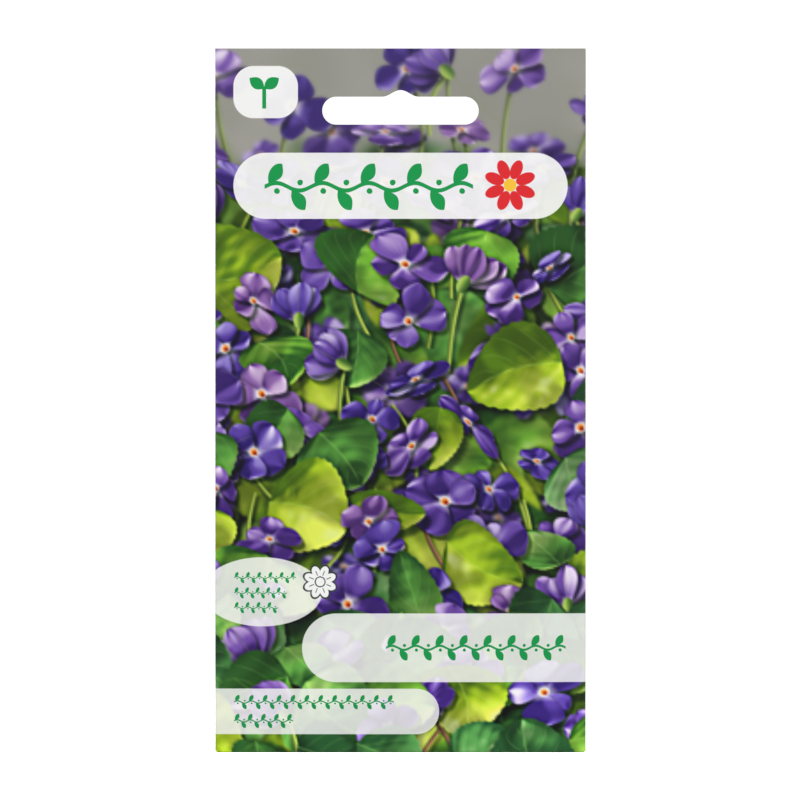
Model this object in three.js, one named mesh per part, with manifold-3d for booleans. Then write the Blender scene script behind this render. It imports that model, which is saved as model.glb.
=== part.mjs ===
// Hanging paper seed packet: a printed front sheet whose flaps fold round a back sheet, a punched hang slot,
// and a flat inner sachet with a pinch of seed in it.
// Millimetres. +Z is up along the packet, the printed front faces -Y, and the origin is the middle of the
// slot's upper edge, where the hook of a display carries the packet.

import * as THREE from 'three';
import { mergeVertices } from 'three/addons/utils/BufferGeometryUtils.js';
import Module from 'manifold-3d';

const wasm = await Module();
wasm.setup();

// Driving dimensions of the packet
const WIDTH = 90;
const HEIGHT = 171;
const PAPER = 0.22;
const HEADER = 27; // flat band at the top, glued front to back
const PUFF = 1.6; // how far each panel stands out from the middle plane at its fullest
const EDGE_FLAT = 1; // stretch beside a side fold that stays in the middle plane

// Hang slot
const SLOT_WIDTH = 38;
const SLOT_HEIGHT = 6.8;
const SLOT_BELOW_TOP = 11.7; // top edge of the packet down to the straight upper edge of the slot
const NOTCH_HEIGHT = 1.6; // the hump in the middle of the upper edge
const NOTCH_HALF = 4.4;

// Folded flaps
const FLAP = 12;
const BOTTOM_FLAP = 13;
const FLAP_TAPER = 5; // how far a side flap's upper end slants over its width
const MITRE_GAP = 1.2; // start of a side fold above the bottom fold, where the flaps meet in a mitre
const GLUE = 0.12; // film between a flap and the back sheet
const FOLD_GAP = 0.3; // edge of the back sheet to the inside of a fold

// Inner sachet
const SACHET_WIDTH = 48;
const SACHET_HEIGHT = 66;
const SACHET_LEAF = 0.18;
const SACHET_SEAL = 4; // flat sealed rim
const SACHET_PUFF = 0.95; // inside of each leaf to the middle plane at its fullest
const SACHET_LIFT = 4.5; // bottom fold of the packet to the sachet's lower edge

// Seeds
const SEED_LENGTH = 1.9;
const SEED_THICK = 1.2;
const SEED_PITCH = 1.14; // below the thickness, so that neighbours in a row always touch
const SEED_LEAN = 0.6; // most that a seed leans from upright, in radians
const HEAP_HALF = 7.5;
const HEAP_ROWS = 4;
const ROW_PITCH = 1.42;
const HEAP_LIFT = 11.5; // sachet's lower edge to the middle of the lowest seeds

const top = SLOT_BELOW_TOP - NOTCH_HEIGHT;
const bottom = top - HEIGHT;
const halfWidth = WIDTH / 2;
const sealLine = top - HEADER;
const sachetBottom = bottom + SACHET_LIFT;

const printedPaper = new THREE.MeshStandardMaterial({ color: 0x5f6f4c, roughness: 0.42, metalness: 0 });
const plainPaper = new THREE.MeshStandardMaterial({ color: 0xefeee8, roughness: 0.55, metalness: 0 });
const sachetPaper = new THREE.MeshStandardMaterial({ color: 0xf6f4ee, roughness: 0.6, metalness: 0 });
const seedCoat = new THREE.MeshStandardMaterial({ color: 0x8a6b42, roughness: 0.5, metalness: 0 });

const clamp01 = (value) => Math.min(1, Math.max(0, value));
const smooth = (value) => clamp01(value) ** 2 * (3 - 2 * clamp01(value));
const between = (low, high, share) => low + (high - low) * share;

// Evenly spaced numbers, both ends included.
const steps = (low, high, count) => Array.from({ length: count + 1 }, (_, i) => between(low, high, i / count));

// Distance of the packet's panels from the middle plane: a lens across, easing in below the header and
// rising quickly from the bottom fold.
function puff(x, z) {
  const inner = halfWidth - EDGE_FLAT;
  const across = clamp01(1 - (x / inner) ** 2) ** 0.75;
  const below = smooth((sealLine - z) / 38);
  const above = 1 - (1 - clamp01((z - bottom - PAPER) / 26)) ** 3;
  return PUFF * across * below * above;
}

// The same for the inside of a sachet leaf, which is flat along its sealed rim.
function sachetPuff(x, z) {
  const inner = SACHET_WIDTH / 2 - SACHET_SEAL;
  const across = clamp01(1 - (x / inner) ** 2) ** 0.5;
  const up = clamp01((z - sachetBottom - SACHET_SEAL) / 12);
  const down = clamp01((sachetBottom + SACHET_HEIGHT - SACHET_SEAL - z) / 40);
  return SACHET_PUFF * across * (1 - (1 - up) ** 2) * smooth(down);
}

// A closed sheet from a cut blank: the cells of a grid of stations that kept(i, j) leaves in, with outer(u, v)
// and inner(u, v) giving the two faces and a wall wherever the blank ends.
function blankSheet(us, vs, kept, outer, inner) {
  const points = [outer, inner].flatMap((face) => us.flatMap((u) => vs.flatMap((v) => face(u, v))));
  const index = (face, i, j) => (face * us.length + i) * vs.length + j;
  const has = (i, j) => i >= 0 && j >= 0 && i < us.length - 1 && j < vs.length - 1 && kept(i, j);
  const faces = [];
  const quad = (a, b, c, d) => faces.push(a, b, c, a, c, d);
  const wall = ([i, j], [k, l]) => quad(index(0, i, j), index(1, i, j), index(1, k, l), index(0, k, l));
  for (let i = 0; i < us.length - 1; i += 1) {
    for (let j = 0; j < vs.length - 1; j += 1) {
      if (!has(i, j)) continue;
      quad(index(0, i, j), index(0, i + 1, j), index(0, i + 1, j + 1), index(0, i, j + 1));
      quad(index(1, i, j), index(1, i, j + 1), index(1, i + 1, j + 1), index(1, i + 1, j));
      if (!has(i, j - 1)) wall([i, j], [i + 1, j]);
      if (!has(i + 1, j)) wall([i + 1, j], [i + 1, j + 1]);
      if (!has(i, j + 1)) wall([i + 1, j + 1], [i, j + 1]);
      if (!has(i - 1, j)) wall([i, j + 1], [i, j]);
    }
  }
  const geometry = new THREE.BufferGeometry();
  geometry.setAttribute('position', new THREE.Float32BufferAttribute(points, 3));
  geometry.setIndex(faces);
  return geometry;
}

// A plain panel: near(x, z) and far(x, z) give the y of its faces, near being the one towards -Y.
const panelSheet = (xs, zs, near, far) => blankSheet(
  xs,
  zs,
  () => true,
  (x, z) => [x, near(x, z), z],
  (x, z) => [x, far(x, z), z],
);

function solid(geometry) {
  const bare = geometry.clone();
  bare.deleteAttribute('normal');
  bare.deleteAttribute('uv');
  const merged = mergeVertices(bare, 1e-4);
  return new wasm.Manifold(new wasm.Mesh({
    numProp: 3,
    vertProperties: new Float32Array(merged.attributes.position.array),
    triVerts: new Uint32Array(merged.index.array),
  }));
}

function geometryOf(manifold) {
  const mesh = manifold.getMesh();
  const geometry = new THREE.BufferGeometry();
  geometry.setAttribute('position', new THREE.Float32BufferAttribute(mesh.vertProperties, mesh.numProp));
  geometry.setIndex(new THREE.Uint32BufferAttribute(mesh.triVerts, 1));
  geometry.computeVertexNormals();
  return geometry;
}

const joined = (geometries) => geometries.map(solid).reduce((sum, next) => sum.add(next));

// The slot's outline: a bar with round ends, and a smooth hump of a squared cosine in the middle of its
// upper edge.
function slotOutline() {
  const radius = SLOT_HEIGHT / 2;
  const reach = SLOT_WIDTH / 2 - radius;
  const upper = -NOTCH_HEIGHT;
  const shape = new THREE.Shape();
  shape.moveTo(-reach, upper - SLOT_HEIGHT);
  shape.lineTo(reach, upper - SLOT_HEIGHT);
  shape.absarc(reach, upper - radius, radius, -Math.PI / 2, Math.PI / 2, false);
  for (const x of steps(NOTCH_HALF, -NOTCH_HALF, 12)) {
    shape.lineTo(x, upper + NOTCH_HEIGHT * Math.cos((Math.PI * x) / (2 * NOTCH_HALF)) ** 2);
  }
  shape.lineTo(-reach, upper);
  shape.absarc(-reach, upper - radius, radius, Math.PI / 2, Math.PI * 1.5, false);
  return shape;
}

// The punch: the outline swept straight through the header, along Y.
function slotPunch() {
  const depth = 8 * PAPER;
  const punch = new THREE.ExtrudeGeometry(slotOutline(), { depth, bevelEnabled: false, curveSegments: 10 });
  return solid(punch.rotateX(Math.PI / 2).translate(0, depth / 2, 0));
}

// Stations across the pocket, and up it: closest near the bottom fold, one band for the flat header.
const pocketColumns = steps(-(halfWidth - EDGE_FLAT), halfWidth - EDGE_FLAT, 16);
const pocketRows = [
  ...steps(bottom + 26, sealLine - 38, 6),
  ...steps(sealLine - 38, sealLine, 7).slice(1),
  top,
];

const within = (value, limit) => Math.min(limit, Math.max(-limit, value));

// The front sheet is cut as one blank. Past a fold, u and v run on over the fold's own wall and then back
// over the flap, which lies behind the back sheet. The side flaps and the bottom flap meet in mitres.
function frontSheet() {
  const wallHeight = 3 * PAPER + GLUE;
  const flapLow = bottom + MITRE_GAP;
  const flapHigh = sealLine - FOLD_GAP;
  const sideStations = [0, wallHeight, ...steps(EDGE_FLAT, FLAP, 2).map((reach) => wallHeight + reach)];
  const us = [
    ...sideStations.toReversed().map((run) => -halfWidth - run),
    ...pocketColumns,
    ...sideStations.map((run) => halfWidth + run),
  ];
  const vs = [
    ...steps(BOTTOM_FLAP, PAPER, 4).map((reach) => bottom - wallHeight - reach),
    bottom - wallHeight,
    bottom,
    bottom + PAPER,
    ...steps(flapLow, bottom + 26, 7),
    ...pocketRows.slice(1, -2),
    flapHigh,
    sealLine,
    top,
  ];
  const inPanel = (i) => us[i] >= -halfWidth && us[i + 1] <= halfWidth;
  const besideFlap = (j) => vs[j] >= flapLow && vs[j + 1] <= flapHigh;
  const kept = (i, j) => inPanel(i) || besideFlap(j);

  // Folds the blank: share is 0 on the inner face and 1 on the outer one.
  const fold = (share) => (u, v) => {
    const sideReach = Math.abs(u) - halfWidth - wallHeight;
    const bottomReach = bottom - wallHeight - v;
    const behind = sideReach >= 0 || bottomReach >= 0;
    let x = sideReach >= 0 ? Math.sign(u) * (halfWidth - sideReach) : u;
    let z = bottomReach >= 0 ? bottom + bottomReach : v;
    if (bottomReach >= 0) {
      x *= 1 - Math.max(0, bottomReach - PAPER) / halfWidth;
    }
    if (sideReach >= 0) {
      const cut = clamp01((sideReach - PAPER) / (FLAP - PAPER));
      z = between(flapLow + FLAP * cut, flapHigh - FLAP_TAPER * cut, (v - flapLow) / (flapHigh - flapLow));
    }
    const skin = PAPER * share;
    x = within(x, halfWidth - PAPER + skin);
    z = Math.max(z, bottom + PAPER - skin);
    return [x, behind ? puff(x, z) + PAPER + GLUE + skin : -puff(x, z) - skin, z];
  };
  const blank = blankSheet(us, vs, kept, fold(1), fold(0));
  return geometryOf(solid(blank).subtract(slotPunch()));
}

function backSheet() {
  const half = halfWidth - PAPER - FOLD_GAP;
  const low = bottom + PAPER + FOLD_GAP;
  const panel = panelSheet(
    [-half, ...pocketColumns, half],
    [...steps(low, bottom + 26, 7), ...pocketRows.slice(1)],
    (x, z) => puff(x, z),
    (x, z) => puff(x, z) + PAPER,
  );
  return geometryOf(solid(panel).subtract(slotPunch()));
}

// side is -1 for the leaf towards the printed front and 1 for the other.
function sachetLeaf(side) {
  const inner = SACHET_WIDTH / 2 - SACHET_SEAL;
  const xs = [-SACHET_WIDTH / 2, ...steps(-inner, inner, 10), SACHET_WIDTH / 2];
  const low = sachetBottom + SACHET_SEAL;
  const high = sachetBottom + SACHET_HEIGHT - SACHET_SEAL;
  const zs = [sachetBottom, ...steps(low, low + 12, 4), ...steps(low + 12, high, 6).slice(1), high + SACHET_SEAL];
  const inside = (x, z) => side * sachetPuff(x, z);
  const outside = (x, z) => side * (sachetPuff(x, z) + SACHET_LEAF);
  return side < 0 ? panelSheet(xs, zs, outside, inside) : panelSheet(xs, zs, inside, outside);
}

// A repeatable random number from 0 to 1 for each seed, from its column and row.
function chance(i, j, salt) {
  const wave = Math.sin(i * 12.9898 + j * 78.233 + salt * 37.719) * 43758.5453;
  return wave - Math.floor(wave);
}

// Seeds one deep in staggered rows, each row shorter than the one below it, leaning at random in the plane.
function seedHeap() {
  const seeds = [];
  for (let row = 0; row < HEAP_ROWS; row += 1) {
    const z = sachetBottom + HEAP_LIFT + row * ROW_PITCH;
    const half = HEAP_HALF * Math.sqrt(1 - (row / HEAP_ROWS) ** 2);
    const count = Math.round((2 * half) / SEED_PITCH);
    for (let i = 0; i <= count; i += 1) {
      const x = (i - count / 2 + (row % 2) / 2) * SEED_PITCH;
      const seed = new THREE.SphereGeometry(0.5, 6, 4);
      seed.scale(SEED_THICK, SEED_THICK * 0.92, SEED_LENGTH);
      seed.rotateY(SEED_LEAN * (2 * chance(i, row, 1) - 1));
      seeds.push(seed.translate(x, 0.05 * (chance(i, row, 2) - 0.5), z));
    }
  }
  return geometryOf(joined(seeds));
}

function piece(name, geometry, material) {
  const mesh = new THREE.Mesh(geometry, material);
  mesh.name = name;
  return mesh;
}

const packet = new THREE.Group();
packet.add(
  piece('front_sheet', frontSheet(), printedPaper),
  piece('back_sheet', backSheet(), plainPaper),
  piece('sachet_front', sachetLeaf(-1), sachetPaper),
  piece('sachet_back', sachetLeaf(1), sachetPaper),
  piece('seeds', seedHeap(), seedCoat),
);

export default packet;
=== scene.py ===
import bmesh
import bpy
import numpy as np
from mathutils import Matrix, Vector


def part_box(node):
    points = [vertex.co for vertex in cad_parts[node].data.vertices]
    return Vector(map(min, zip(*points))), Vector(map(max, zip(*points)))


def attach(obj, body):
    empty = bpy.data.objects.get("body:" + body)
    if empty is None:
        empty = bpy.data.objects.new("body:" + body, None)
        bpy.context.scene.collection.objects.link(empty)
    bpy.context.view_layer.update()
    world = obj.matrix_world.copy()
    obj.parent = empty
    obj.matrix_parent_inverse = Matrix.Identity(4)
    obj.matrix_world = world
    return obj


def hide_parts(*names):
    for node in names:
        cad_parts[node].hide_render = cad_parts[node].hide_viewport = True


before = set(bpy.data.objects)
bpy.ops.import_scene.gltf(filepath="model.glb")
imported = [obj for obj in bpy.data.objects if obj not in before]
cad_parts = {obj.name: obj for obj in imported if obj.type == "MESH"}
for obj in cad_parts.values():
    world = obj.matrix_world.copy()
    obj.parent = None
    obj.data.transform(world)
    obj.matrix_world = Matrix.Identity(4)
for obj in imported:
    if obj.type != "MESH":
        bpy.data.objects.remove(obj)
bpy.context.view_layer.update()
low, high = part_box("front_sheet")
halfWidth, topEdge, bottomEdge = high.x, high.z, low.z
mm = 0.001
print("frame loaded: packet", round(2 * halfWidth / mm), "by", round((topEdge - bottomEdge) / mm), "mm")

# The packet's make, in metres, as in the solids that these pieces stand for
packet = {
    "paper": 0.22 * mm,
    "glue": 0.12 * mm,         # between the flaps and the back sheet
    "header": 27.0 * mm,       # the two sheets are glued flat down to here
    "puff": 1.6 * mm,          # each panel's fullest distance from the middle plane
    "edgeFlat": 1.0 * mm,
    "sealEase": 38.0 * mm,
    "bottomEase": 26.0 * mm,
    "flap": 12.0 * mm,
    "bottomFlap": 13.0 * mm,
    "flapTaper": 5.0 * mm,
    "mitreGap": 1.2 * mm,
    "foldGap": 0.3 * mm,
    "bleed": 4.0 * mm,         # how far the print runs on past a fold
    "slotTop": 11.7 * mm,      # the slot's straight upper edge, below the packet's top
    "slotWidth": 38.0 * mm,
    "slotHeight": 6.8 * mm,
    "notchHeight": 1.6 * mm,
    "notchHalf": 4.4 * mm,
}
sealLine = topEdge - packet["header"]
wholeTurn = 2 * np.pi


def softStep(edge0, edge1, value):
    # cubic ease from 0 at edge0 to 1 at edge1
    t = np.clip((value - edge0) / (edge1 - edge0), 0.0, 1.0)
    return t * t * (3.0 - 2.0 * t)


def shade(*rgb):
    return np.array(rgb, float) / 255.0


def mixColours(a, b, share):
    return a + (b - a) * share[..., None]


def turned(a, b, angle):
    # a pair of coordinates, as arrays or as fields, in axes turned by an angle
    return a * np.cos(angle) + b * np.sin(angle), b * np.cos(angle) - a * np.sin(angle)


# The printed picture, painted as whole arrays: x runs across the packet and s down from its top, in mm
picture = {
    "seed": 71,
    "cell": 0.2,                 # one painted cell
    "margin": 6.0,               # painted past each edge, for the flaps
    "width": 2 * halfWidth / mm,
    "height": (topEdge - bottomEdge) / mm,
    "light": (-0.52, -0.66, 0.54),
    "shadowTint": (1.0, 0.93, 1.0),
    "skyLine": 26.0,             # where the blurred backdrop gives way to foliage
    "farLeaves": 60,
    "leaves": 92,
    "stems": 54,
    "farFlowers": 34,
    "highFlowers": 9,
    "flowers": 70,
    "frontLeaves": 26,
    "lowLeaves": 20,
    "farLeafSize": (16.0, 26.0),
    "leafSize": (14.0, 25.0),
    "farFlowerSize": (11.0, 17.0),
    "flowerSize": (14.0, 20.5),
    "sideShare": 0.16,           # share of the flowers that are seen from the side
    "nearLight": 0.3,
    "topBlur": 0.6,
    "haze": 0.08,
    "crispness": 0.6,
    "lift": 0.80,                # power that opens up the dark tones
    "leafTones": [               # in shade, in plain light, in full light
        (shade(24, 58, 20), shade(66, 130, 42), shade(144, 190, 84)),
        (shade(26, 66, 18), shade(86, 150, 34), shade(166, 208, 70)),
        (shade(20, 52, 24), shade(54, 112, 48), shade(136, 178, 108)),
        (shade(58, 92, 10), shade(140, 174, 22), shade(206, 218, 66)),
    ],
    "leafShares": (0.28, 0.28, 0.18, 0.26),
    "frontLeafShares": (0.34, 0.34, 0.16, 0.16),
    "petalTones": [
        (shade(38, 20, 84), shade(80, 52, 142), shade(162, 138, 208)),
        (shade(46, 24, 90), shade(94, 60, 150), shade(196, 166, 220)),
        (shade(60, 32, 92), shade(122, 80, 152), shade(216, 186, 222)),
        (shade(32, 18, 84), shade(68, 46, 140), shade(140, 122, 206)),
    ],
    "petalShares": (0.36, 0.24, 0.12, 0.28),
    "bedStalk": {"length": (10, 26), "turn": (1.0, 2.1), "bow": (-2.5, 2.5), "half": 0.45, "soft": 0.2},
    "highStalk": {"length": (26, 36), "turn": (1.3, 1.9), "bow": (-3, 3), "half": 0.5, "soft": 0.3},
    "sideStalk": {"length": (12, 24), "turn": (1.1, 2.0), "bow": (-3, 3), "half": 0.5, "soft": 0.2},
}


def blurred(rgb, radius):
    # gaussian blur by a product in the frequency domain, with the edges mirrored
    pad = int(np.ceil(radius * 3)) + 1
    wide = np.pad(rgb, [(pad, pad), (pad, pad), (0, 0)], mode="reflect")
    fy, fx = np.fft.fftfreq(wide.shape[0])[:, None], np.fft.rfftfreq(wide.shape[1])[None]
    gain = np.exp(-2 * (np.pi * radius) ** 2 * (fy ** 2 + fx ** 2))[..., None]
    out = np.fft.irfft2(np.fft.rfft2(wide, axes=(0, 1)) * gain, s=wide.shape[:2], axes=(0, 1))
    return out[pad:-pad, pad:-pad]


def softNoise(rng, shape, scale):
    # smooth noise from 0 to 1: a dozen plane waves of random direction, length and phase, added up
    heading, phase = rng.uniform(0, wholeTurn, (2, 12))
    number = wholeTurn / (scale * rng.uniform(1.5, 3.6, 12))
    down = np.exp(1j * (np.arange(shape[0])[:, None] * number * np.sin(heading) + phase))
    across = np.exp(1j * np.arange(shape[1])[None] * (number * np.cos(heading))[:, None])
    return np.clip(0.5 + 0.09 * (down @ across).real, 0, 1)


class Canvas:
    def __init__(self, p):
        self.cell = p["cell"]
        self.x0 = -p["width"] / 2 - p["margin"]
        self.s0 = -p["margin"]
        rows, cols = (int(round((p[side] + 2 * p["margin"]) / self.cell)) for side in ("height", "width"))
        self.shape = (rows, cols)
        self.rgb = np.zeros((rows, cols, 3))
        self.solid = np.ones((rows, cols))     # where something is near enough to take a shadow
        self.light = np.array(p["light"]) / np.linalg.norm(p["light"])
        self.shadowTint = np.array(p["shadowTint"])

    def window(self, x, s, reach, fewest=12):
        # the cells round (x, s), with their places counted from there; None if too few are on the canvas
        rows, cols = self.shape
        i0 = max(0, int((x - reach - self.x0) / self.cell))
        i1 = min(cols, int((x + reach - self.x0) / self.cell) + 1)
        j0 = max(0, int((s - reach - self.s0) / self.cell))
        j1 = min(rows, int((s + reach - self.s0) / self.cell) + 1)
        if i1 - i0 < fewest or j1 - j0 < fewest:
            return None
        dx = self.x0 + (np.arange(i0, i1) + 0.5) * self.cell - x
        dy = self.s0 + (np.arange(j0, j1) + 0.5) * self.cell - s
        return (slice(j0, j1), slice(i0, i1)), *np.meshgrid(dx, dy)

    def lay(self, where, colour, cover):
        self.rgb[where] = mixColours(self.rgb[where], np.clip(colour, 0, 1), cover)
        self.solid[where] = np.maximum(self.solid[where], cover)

    def darken(self, where, share):
        self.rgb[where] *= 1 - (share * self.solid[where])[..., None] * self.shadowTint

    def lit(self, height):
        # lambert light on a height field in mm, 0 in full shade to 1 facing the light
        gy, gx = np.gradient(height, self.cell)
        towards = -gx * self.light[0] - gy * self.light[1] + self.light[2]
        return np.clip(towards / np.sqrt(gx ** 2 + gy ** 2 + 1), 0, 1)

    def at(self, x, s):
        # colour at places between the cells, by straight interpolation both ways
        rows, cols = self.shape
        u = np.clip((x - self.x0) / self.cell - 0.5, 0, cols - 1.001)
        v = np.clip((s - self.s0) / self.cell - 0.5, 0, rows - 1.001)
        i, j = u.astype(int), v.astype(int)
        fu, fv = (u - i)[:, None], (v - j)[:, None]
        upper, lower = (self.rgb[k, i] * (1 - fu) + self.rgb[k, i + 1] * fu for k in (j, j + 1))
        return upper * (1 - fv) + lower * fv


def leaned(dx, dy, angle, squash):
    # foreshortening: the plane is squeezed across the given direction
    along, across = turned(dx, dy, angle)
    return turned(along, across / squash, -angle)


def castShade(inside, rows, cols):
    # a shape's distance field moved down and to the right, for its shadow
    out = np.full_like(inside, -9.0)
    out[rows:, cols:] = inside[:-rows, :-cols]
    return out


# Leaves: heights and lengths are shares of a leaf's size, and pairs are ranges to draw from
leafLook = {
    "squash": (0.55, 1.0),       # foreshortening
    "curve": (-0.14, 0.14),
    "half": (0.42, 0.56),        # from the midrib to the rim at the widest
    "scallop": 0.018,
    "scallops": (8, 13),
    "veins": 4.5,
    "quilt": (0.001, 0.003),     # swelling between the veins
    "crease": (0.06, 0.20),
    "bow": (-0.20, 0.24),
    "leanAcross": (-0.5, 0.5),
    "leanAlong": (-0.45, 0.45),
    "ribLight": (0.16, 0.22, 0.10),
    "midribShare": 0.8,
    "ribShare": 0.56,
    "sheen": (0.1, 0.5),
    "sheenTone": shade(228, 240, 214),
    "fullLight": (0.55, 0.95),   # where the bright tone sets in, and its share
    "dark": 0.28,                # close round the leaf
    "shadow": 0.62,
}


def toned(tones, lit, fullLight):
    # from the tone in shade over the one in plain light to the one in full light
    deep, middle, bright = tones
    start, share = fullLight
    colour = mixColours(deep, middle, softStep(0.12, 0.62, lit))
    return mixColours(colour, bright, softStep(start, 1.0, lit) * share)


def layShaded(canvas, where, colour, cover, dark, shadow):
    # lays a shape over the darkness close round it and the shadow that it casts
    canvas.darken(where, np.maximum(dark, shadow) * (1 - cover))
    canvas.lay(where, colour, cover)


def paintLeaf(canvas, rng, x, s, sizes, tones, soft):
    # A broad leaf: t runs from 0 at its foot to 1 at its tip. The outline is a blunt heart with a
    # scalloped edge; the blade is creased along the midrib, bowed along it, and swells between its veins.
    p = leafLook
    size, turn = rng.uniform(*sizes), rng.uniform(0, wholeTurn)
    found = canvas.window(x, s, size * 1.1)
    if found is None:
        return
    where, dx, dy = found
    dx, dy = leaned(dx, dy, rng.uniform(0, wholeTurn), rng.uniform(*p["squash"]))
    along, across = turned(dx, dy, turn)
    along = along + size * 0.5
    t = along / size
    run = np.clip(t, 0, 1)
    across = across - rng.uniform(*p["curve"]) * size * np.sin(np.pi * run)
    half = size * rng.uniform(*p["half"]) * np.sin(np.pi * run ** 0.66) ** 0.6
    scallop = p["scallop"] * size * np.abs(np.sin(np.pi * rng.integers(*p["scallops"]) * run))
    inside = np.minimum(half + scallop - np.abs(across), np.minimum(t, 1 - t) * size * 1.6)
    cover = softStep(-soft, soft, inside)
    fromMidrib = np.abs(across / np.maximum(half, 0.5))
    count = t * p["veins"] - fromMidrib ** 1.2 * 1.9 + 0.5 * (across > 0)
    vein = np.abs((count + 0.5) % 1 - 0.5) * 2
    quilt = -np.cos(np.pi * vein) * rng.uniform(*p["quilt"])
    crease = -rng.uniform(*p["crease"]) * (1 - fromMidrib.clip(0, 1.2) ** 1.5)
    bow = rng.uniform(*p["bow"]) * np.sin(np.pi * run)
    rumple = 0.036 * (softNoise(rng, t.shape, 26) - 0.5) + 0.010 * (softNoise(rng, t.shape, 9) - 0.5)
    height = size * (quilt + crease + bow + rumple)
    height += rng.uniform(*p["leanAcross"]) * across + rng.uniform(*p["leanAlong"]) * along
    lit = canvas.lit(height)
    colour = toned(tones, lit, p["fullLight"])
    # patches of light and shade fallen from what grows above
    fallen = softNoise(rng, t.shape, 34) + 0.4 * softNoise(rng, t.shape, 15)
    colour = colour * (0.72 + 0.38 * softStep(0.45, 0.95, fallen))[..., None]
    midrib = softStep(0.5, 0.08, np.abs(across) * 1.3) * softStep(0.98, 0.75, t)
    ribs = softStep(0.86, 1.0, vein) * softStep(0.0, 0.2, fromMidrib) * softStep(1.0, 0.7, fromMidrib)
    share = np.clip(midrib * p["midribShare"] + ribs * p["ribShare"], 0, 1)
    colour = mixColours(colour, colour * 0.75 + np.array(p["ribLight"]), share)
    sheen = softStep(0.66, 1.0, lit * softNoise(rng, t.shape, 26) * 1.2) * rng.uniform(*p["sheen"])
    colour = mixColours(colour, p["sheenTone"], sheen)
    colour = mixColours(colour, tones[2], softStep(0.7, 0.1, inside) * softStep(0.4, 0.9, lit) * 0.35)
    dark = softStep(-size * 0.11, 0.4, inside) * p["dark"]
    shadow = softStep(-size * 0.05, size * 0.10, castShade(inside, 10, 8)) * p["shadow"]
    layShaded(canvas, where, colour, cover, dark, shadow)


# Petals: heights and lengths are shares of a petal's length or width, and pairs are ranges to draw from
petalLook = {
    "curve": (-0.16, 0.16),
    "ruffle": 0.05,
    "ruffles": (9, 15),
    "fold": (-0.5, 0.5),         # how far the crease lies off the middle line
    "cup": (-0.36, 0.51),        # below zero it is folded back
    "bow": (0.05, 0.26),
    "waves": (3, 6),
    "leanAcross": (-0.5, 0.5),
    "leanAlong": (-0.45, 0.4),
    "glow": (0.1, 0.85),
    "glowTone": shade(240, 226, 246),
    "veins": 15,
    "veinShare": 0.32,
    "throat": (0.3, 0.85),
    "throatTone": shade(236, 226, 240),
    "fullLight": (0.62, 0.85),
    "dark": 0.22,
    "shadow": 0.6,
}


def paintPetal(canvas, rng, where, dx, dy, turn, length, width, tones, soft):
    # One petal: a runs out from the flower's middle, b across. It is widest past the half, ruffled at its
    # rim, cupped or folded back across, and darker veins fan out of its pale throat.
    p = petalLook
    deep, _, pale = tones
    a, b = turned(dx, dy, turn)
    t = np.clip(a / length, 0, 1)
    b = b - rng.uniform(*p["curve"]) * length * t ** 2
    ray = np.arctan2(b, np.maximum(a, 0.01))
    half = width * np.sin(np.pi * t ** 1.3) ** 0.55 * (0.55 + 0.45 * t)
    ruffle = p["ruffle"] * width * np.sin(ray * rng.integers(*p["ruffles"]) + rng.uniform(0, 6))
    inside = np.minimum(half - np.abs(b), np.minimum(a, length - a + 0.22 * np.abs(b)) * 1.3) + ruffle * t
    cover = softStep(-soft, soft, inside)
    q = b / np.maximum(half, 0.4)
    fold = q + rng.uniform(*p["fold"])
    height = width * fold.clip(-1.4, 1.4) ** 2 * rng.uniform(*p["cup"])
    height += rng.uniform(*p["bow"]) * length * np.sin(np.pi * t * 1.1)
    height += 0.08 * width * np.sin(q * rng.uniform(*p["waves"]) + rng.uniform(0, 6)) * t
    height += rng.uniform(*p["leanAcross"]) * b + rng.uniform(*p["leanAlong"]) * a
    lit = canvas.lit(height)
    colour = toned(tones, lit, p["fullLight"])
    colour = mixColours(colour, pale, softStep(0.6, 1.0, t) * softStep(0.5, 1.0, np.abs(q)) * 0.35)
    glow = softStep(0.88, 1.0, lit) * softStep(0.3, 0.75, t) * rng.uniform(*p["glow"])
    colour = mixColours(colour, p["glowTone"], glow)
    fan = softStep(0.5, 0.0, np.abs(np.sin(ray * p["veins"]))) * softStep(0.8, 0.2, t)
    colour = mixColours(colour, deep * 0.7, fan * p["veinShare"])
    colour = mixColours(colour, p["throatTone"], softStep(0.30, 0.10, t) * rng.uniform(*p["throat"]))
    colour = colour * (1 - softStep(0.5, 0.0, inside) * 0.15)[..., None]
    dark = softStep(-1.2, 0.2, inside) * p["dark"]
    shadow = softStep(-0.9, 0.7, castShade(inside, 5, 4)) * p["shadow"]
    layShaded(canvas, where, colour, cover, dark, shadow)


# Flowers: lengths are shares of a flower's size, and widths of a petal's length
flowerLook = {
    "tilts": ((0.34, 0.55), (0.6, 1.0)),     # foreshortening of those turned far aside, and of the others
    "tiltShares": (0.35, 0.65),
    "petals": 5,
    "uneven": 0.16,              # in radians
    "petalLength": (0.35, 0.59),
    "petalWidth": (0.42, 0.66),
    "eye": [                     # tone, outer rim, where it is full, share, and shift in mm
        (shade(240, 234, 232), 0.085, 0.05, 0.75, (-0.2, -0.2)),
        (shade(214, 112, 40), 0.062, 0.03, 0.95, (-0.2, -0.2)),
        (shade(122, 26, 22), 0.036, 0.012, 1.0, (0.1, 0.15)),
    ],
    "sideLeans": (-0.75, 0.7, -0.36, 0.34, 0.0),
    "sideLength": (0.612, 0.792),
    "sideWidth": (0.3, 0.4),
    "calyx": (shade(40, 74, 24), shade(150, 184, 70)),
}


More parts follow.
